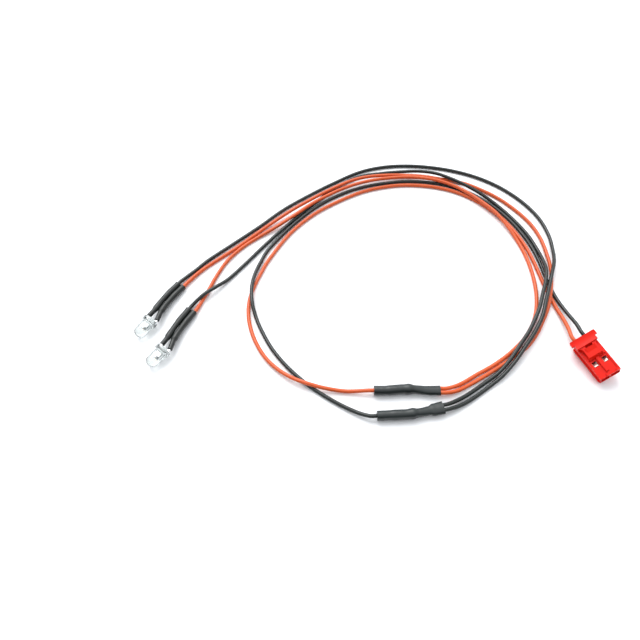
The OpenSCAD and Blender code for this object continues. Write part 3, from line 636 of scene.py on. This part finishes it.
wires = {}
for number, (name, points) in enumerate(ROUTES.items()):
    wires[name] = grown(line_object(name + "_line", smooth_line(points)), WIRE_TREE, {
        "Radius": WIRE_D / 2 * MM, "Step": RING_STEP * MM, "Swell": WIRE_SWELL,
        "Seed": float(number), "Sides": WIRE_SIDES, "Material": FINISHES[SLOT_OF[name]]})
    print(name, len(wires[name].data.polygons), "faces")

# %% [markdown]
# ## The leg sleeves
# A sleeve is shrunk over the leg, the solder joint and the end of the wire, so it shows all three:
# thin on the leg, a lump at either end of the joint with a waist between them, then the width of
# the wire, and a mouth that stands open a little. Its wall is a loop of rings, along the outside,
# round the rim and back through the bore.

# %% Make the leg sleeves
LEG_TUBE_R = 0.62
JOINT_TUBE_R = 0.805
TUBE_WAIST_R = 0.70
TUBE_R = 0.77
MOUTH_R = 0.805
BORE_R = 0.5
LEG_BORE_R = 0.4
TUBE_STEP = 0.2
RIM_OUT = 0.03
RIM_MARK = 0.2
RIPPLE = 0.012
RIPPLE_LONG, RIPPLE_SHORT = 1.3, 3.1
RIPPLE_TURN = 6.28
LUMP_BEFORE, LUMP_AFTER = 0.7, 0.5
FLARE_LEN = 0.5
STEP_LEN = 0.3
SETTLE_LEN = 1
LEG_TUBE_SIDES = 28
LEG_TUBE_SEED = 11


def eased(x, marks):
    """Values eased between (place, value) marks."""
    places = np.array([m[0] for m in marks], float)
    values = np.array([m[1] for m in marks], float)
    i = np.clip(np.searchsorted(places, x) - 1, 0, len(places) - 2)
    t = np.clip((x - places[i]) / (places[i + 1] - places[i]), 0, 1)
    t = t * t * (3 - 2 * t)
    return values[i] + (values[i + 1] - values[i]) * t


def even_line(points, step):
    p = np.array(points, float)
    s = np.concatenate([[0], np.cumsum(np.linalg.norm(np.diff(p, axis=0), axis=1))])
    at = np.linspace(0, s[-1], max(2, round(s[-1] / step)) + 1)
    return np.stack([np.interp(at, s, p[:, k]) for k in range(3)], 1), at


def tube_wall(name, line, run, wide, high, bore, seed, sides):
    """A closed wall round a line: outside rings one way, bore rings back."""
    short_phase, long_phase = np.random.default_rng(seed).uniform(0, RIPPLE_TURN, 2)
    wave = np.sin(run * RIPPLE_SHORT + short_phase) * np.sin(run * RIPPLE_LONG + long_phase)
    ripple = 1 - RIPPLE * (1 + wave)
    outer = rings_along(line, wide * ripple, high * ripple, sides)
    inner = rings_along(line, bore, bore, sides)[::-1]
    rim = rings_along(line, (wide * ripple + bore) / 2, (high * ripple + bore) / 2, sides)
    ahead = section_axes(line)[0]
    rings = np.concatenate([outer, (rim[-1] + RIM_OUT * ahead[-1])[None], inner,
                            (rim[0] - RIM_OUT * ahead[0])[None]])
    marks = np.concatenate([run, [run[-1] + RIM_MARK], run[::-1], [run[0] - RIM_MARK]])
    return skin(name, rings, marks / MM_IN_CM)


for lamp_name, lamp in LAMPS.items():
    for pole, side in (("cathode", CATHODE), ("anode", ANODE)):
        corner, bend, mouth = leg_line(lamp, side, -RIM_OUT)
        ahead = (bend[0] - corner) / np.linalg.norm(bend[0] - corner)
        plane = [corner + RIM_OUT * ahead] + bend + [mouth]
        line, run = even_line([tail_point(lamp, p) for p in plane], TUBE_STEP)
        joint_at = float(np.linalg.norm(bend[0] - corner))
        wire_at = run[-1] - WIRE_TUCK
        wide = eased(run, [
            (0, LEG_TUBE_R), (joint_at - LUMP_BEFORE, LEG_TUBE_R),
            (joint_at + LUMP_AFTER, JOINT_TUBE_R), ((joint_at + wire_at) / 2, TUBE_WAIST_R),
            (wire_at, JOINT_TUBE_R), (wire_at + SETTLE_LEN, TUBE_R),
            (run[-1] - FLARE_LEN, TUBE_R), (run[-1], MOUTH_R)])
        bore = eased(run, [(0, LEG_BORE_R), (joint_at, LEG_BORE_R),
                           (joint_at + STEP_LEN, BORE_R), (run[-1], BORE_R)])
        name = f"{lamp_name}_{pole}_sleeve"
        sleeve = tube_wall(name + "_tube", line, run, wide, wide, bore,
                           LEG_TUBE_SEED + len(name) + side, LEG_TUBE_SIDES)
        dress(sleeve, "leg_tube")
        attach(sleeve, "root")
        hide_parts(name)
        print(name, len(sleeve.data.polygons), "faces")

# %% [markdown]
# ## The splice sleeves
# Each splice joins one wire of the plug to two wires of the lamps. The sleeve is round at the
# single wire, thickest over the joint, and flat and wide where the two wires leave side by side.
# The section is an oval whose width and height are eased along the line, and the shrinking has
# left one of the two sleeves a little arched.

# %% Make the splice sleeves
END_R = 1.13
MID_R = 1.29
WAIST_R, WAIST_WIDE_R = 0.98, 1.02
PAIR_HIGH = 0.78
KNEE = 1.5
ROUND_PART = [(0, END_R), (2.6, END_R - 0.02), (3.8, END_R + 0.05), (6.6, END_R + 0.03),
              (8.0, MID_R)]
WAIST_AT = 9.3
NECK_R = 1.1
NECK_BACK, FLAT_BACK, SPREAD_BACK = 3.4, 3, 2.2
PAIR_SWELL = 0.06
ARCH_FROM = 2
SMOOTHINGS = 12
SPLICE_TUBE_SIDES = 36
SPLICE_TUBE_SEED = 40

for splice_name, splice in SPLICES.items():
    turn_at = np.array(splice["start"]) + along(splice["heading"], SPLICE_SINGLE_LEN)
    heading = splice["heading"] + splice["turn"]
    places = [np.array(splice["start"]) + along(splice["heading"], RIM_OUT),
              turn_at - along(splice["heading"], KNEE)]
    places += [turn_at + along(heading, d) for d in (KNEE, SPLICE_PAIR_LEN - RIM_OUT)]
    flat = np.array([[*p, SPLICE_AXIS_H] for p in places])
    line, run = even_line(flat, TUBE_STEP)
    for _ in range(SMOOTHINGS):
        line[1:-1] = (line[:-2] + 2 * line[1:-1] + line[2:]) / 4
    total = run[-1]
    share = np.clip((run - ARCH_FROM) / (total - 2 * ARCH_FROM), 0, 1)
    line[:, 1] += splice["arch"] * np.sin(np.pi * share) ** 2
    pair_wide = splice["spread"] / 2 + splice["wrap"]
    wide = eased(run, ROUND_PART + [
        (WAIST_AT, WAIST_WIDE_R), (total - NECK_BACK, NECK_R),
        (total - SPREAD_BACK, pair_wide - PAIR_SWELL), (total, pair_wide)])
    high = eased(run, ROUND_PART + [
        (WAIST_AT, WAIST_R), (total - FLAT_BACK, PAIR_HIGH), (total, PAIR_HIGH)])
    sleeve = tube_wall(splice_name + "_sleeve_tube", line, run, wide, high, BORE_R,
                       SPLICE_TUBE_SEED + len(splice_name), SPLICE_TUBE_SIDES)
    dress(sleeve, "splice_tube")
    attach(sleeve, "root")
    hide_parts(splice_name + "_sleeve")
    print(splice_name, round(total, 1), "mm long")

# %% [markdown]
# ## The lenses
# A lamp's body is cast round its legs in one piece: a flange with a flat that marks the short leg,
# a barrel with a small fillet at its root, and a dome. It is a lathe shape, so a profile is turned
# round the axis, and the rings of the flange are then cut off at the flat.

# %% Make the lenses
FLAT_DEPTH = 0.3
FLANGE_T = 1.0
LENS_R = 1.5
BARREL_FROM = 1.08
DOME_FROM = 3.8
FLANGE_PROFILE = [(0.9, 0.0), (1.86, 0.0), (1.9, 0.012), (1.925, 0.06), (1.925, 0.5),
                  (1.925, 0.94), (1.9, 0.985), (1.85, FLANGE_T), (1.6, FLANGE_T), (1.53, 1.015),
                  (LENS_R, BARREL_FROM)]
BARREL_STEPS = 8
DOME_STEPS = 20
LENS_SIDES = 96
LENS_SHARP_FROM = 35


def lens_mesh(name):
    """A lamp's body standing on its base, in millimetres: pole, rings of the profile, pole."""
    profile = FLANGE_PROFILE + [
        (LENS_R, BARREL_FROM + (DOME_FROM - BARREL_FROM) * k / BARREL_STEPS)
        for k in range(1, BARREL_STEPS + 1)]
    profile += [(LENS_R * math.cos(a), DOME_FROM + LENS_R * math.sin(a))
                for a in np.linspace(0, math.pi / 2, DOME_STEPS + 1)[1:-1]]
    verts = [(0, 0, 0)]
    for r, z in profile:
        for a in np.linspace(0, 2 * math.pi, LENS_SIDES, endpoint=False):
            x, y = r * math.cos(a), r * math.sin(a)
            if z <= FLANGE_T:
                y = max(y, -FLANGE_D / 2 + FLAT_DEPTH)
            verts.append((x, y, z))
    verts.append((0, 0, DOME_FROM + LENS_R))
    faces = []
    rows = len(profile)
    for k in range(LENS_SIDES):
        n = (k + 1) % LENS_SIDES
        faces.append((0, 1 + n, 1 + k))
        for i in range(rows - 1):
            a, b = 1 + i * LENS_SIDES, 1 + (i + 1) * LENS_SIDES
            faces.append((a + k, a + n, b + n, b + k))
        top = 1 + (rows - 1) * LENS_SIDES
        faces.append((top + k, top + n, len(verts) - 1))
    mesh = bpy.data.meshes.new(name)
    mesh.from_pydata(verts, [], faces)
    shade_smooth(mesh, LENS_SHARP_FROM)
    return mesh


for lamp_name, lamp in LAMPS.items():
    mesh = lens_mesh(lamp_name + "_lens_cast")
    stand = (Matrix.Translation((*[v * MM for v in lamp["base"]], FLANGE_D / 2 * MM))
             @ Matrix.Rotation(math.radians(lamp["heading"]), 4, "Z")
             @ Matrix.Rotation(math.radians(90), 4, "Y") @ Matrix.Scale(MM, 4))
    mesh.transform(stand)
    lens = placed(lamp_name + "_lens_cast", mesh)
    dress(lens, "clear_epoxy")
    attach(lens, "root")
    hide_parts(lamp_name + "_lens")
    print(lamp_name, "lens", len(mesh.polygons), "faces")

# %% [markdown]
# ## The carried over solids
# The stamped legs, the chips with their bond wires, the solder joints, the terminals and the
# plug's moulding keep the frame's own meshes. A real stamping or moulding has no knife edges, so
# legs, terminals and plug get a narrow bevel on their sharp edges.

# %% Bevel the solids' edges
BEVELS = {"housing": 0.07, "cathode": 0.03, "anode": 0.03, "terminal": 0.03}
BEVEL_FROM = 40
for name, node in nodes.items():
    width = BEVELS.get(name.split("_")[-1])
    if width:
        bevel = node.modifiers.new("edge", "BEVEL")
        bevel.width = width * MM
        bevel.segments = 2
        bevel.limit_method = "ANGLE"
        bevel.angle_limit = math.radians(BEVEL_FROM)
        bevel.harden_normals = False
        print(name, "edges", width, "mm")

# %% [markdown]
# ## The wires' ends
# Each lamp wire starts on a joint in one of the lamps' sleeves and ends in a splice, and the plug's
# two wires run from the splices to the plug. Each wire hangs on the root with the lamps and their
# sleeves, and its solid in the frame is hidden. Its line is worked out once more here, turned round
# for the plug's wires, but nothing uses it.

for name, wire in wires.items():
    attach(wire, "root")
    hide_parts(name)
    line = smooth_line(ROUTES[name]) * MM
    to_plug = name.startswith("plug")
    if to_plug:
        line = line[::-1]
    print(name, "ends in a", "plug" if to_plug else "splice")

# %% [markdown]
# ## The floor
# The object lies on a plain white surface, lit so well that only the shadows close under it show.
# One large sheet is enough, with the faint tooth of paper.

# %% Lay the floor
FLOOR_HALF = 1.5
floor_mesh = bpy.data.meshes.new("floor")
corners = [(x * FLOOR_HALF, y * FLOOR_HALF, 0) for x, y in ((-1, -1), (1, -1), (1, 1), (-1, 1))]
floor_mesh.from_pydata(corners, [], [(0, 1, 2, 3)])
floor = placed("floor", floor_mesh)
floor_mesh.materials.append(finish(
    "white paper", (0.93, 0.94, 0.95), (0.95, 0.96, 0.97), patch=40.0,
    depth=0.00001, grain=2000.0, rough=(0.8, 0.95)))
print("floor", 2 * FLOOR_HALF, "m wide")

# %% [markdown]
# ## The light
# Most of the light is a sky that is strongest overhead and a little behind the object. The rest is
# a broad soft box behind and to the left, which gives every dark tube its light upper side and
# leans the shadows towards the viewer. The camera sees plain white in place of the sky, so that
# the picture has no horizon.

# %% Set the light
SOFTBOX_AT = (-200, 580, 800)
SOFTBOX_SIZE = 0.7
SOFTBOX_POWER = 7.5
LEAN = (0.0, 0.5, 0.87)
FULL_FROM = 0.75

light = bpy.data.lights.new("softbox", "AREA")
light.size = SOFTBOX_SIZE
light.energy = SOFTBOX_POWER
softbox = placed("softbox", light)
softbox.location = Vector(SOFTBOX_AT) * MM
softbox.rotation_euler = (softbox.location - LOOK_AT).to_track_quat("Z", "Y").to_euler()


def soft_sky(zenith, horizon):
    """Light that grows from the horizon's strength to the zenith's, leaning back."""
    world = bpy.data.worlds.new("soft sky")
    world.use_nodes = True
    tree = world.node_tree
    tree.nodes.clear()
    way = add(tree, "ShaderNodeTexCoord").outputs["Generated"]
    height = add(tree, "ShaderNodeVectorMath", {0: way, 1: LEAN}, operation="DOT_PRODUCT")
    strength = add(tree, "ShaderNodeMapRange", {
        "Value": height.outputs["Value"], "From Max": FULL_FROM, "To Min": horizon,
        "To Max": zenith}).outputs[0]
    glow = add(tree, "ShaderNodeBackground", {
        "Color": (0.95, 0.97, 1.0, 1.0), "Strength": strength})
    paper = add(tree, "ShaderNodeBackground", {"Color": (1.0, 1.0, 1.0, 1.0), "Strength": 1.0})
    seen = add(tree, "ShaderNodeLightPath").outputs["Is Camera Ray"]
    both = add(tree, "ShaderNodeMixShader", {
        0: seen, 1: glow.outputs[0], 2: paper.outputs[0]})
    add(tree, "ShaderNodeOutputWorld", {"Surface": both.outputs[0]})
    return world


bpy.context.scene.world = soft_sky(zenith=1.5, horizon=0.08)
bpy.context.scene.view_settings.view_transform = "Standard"
print("softbox", round((softbox.location - LOOK_AT).length, 2), "m from where the camera looks")
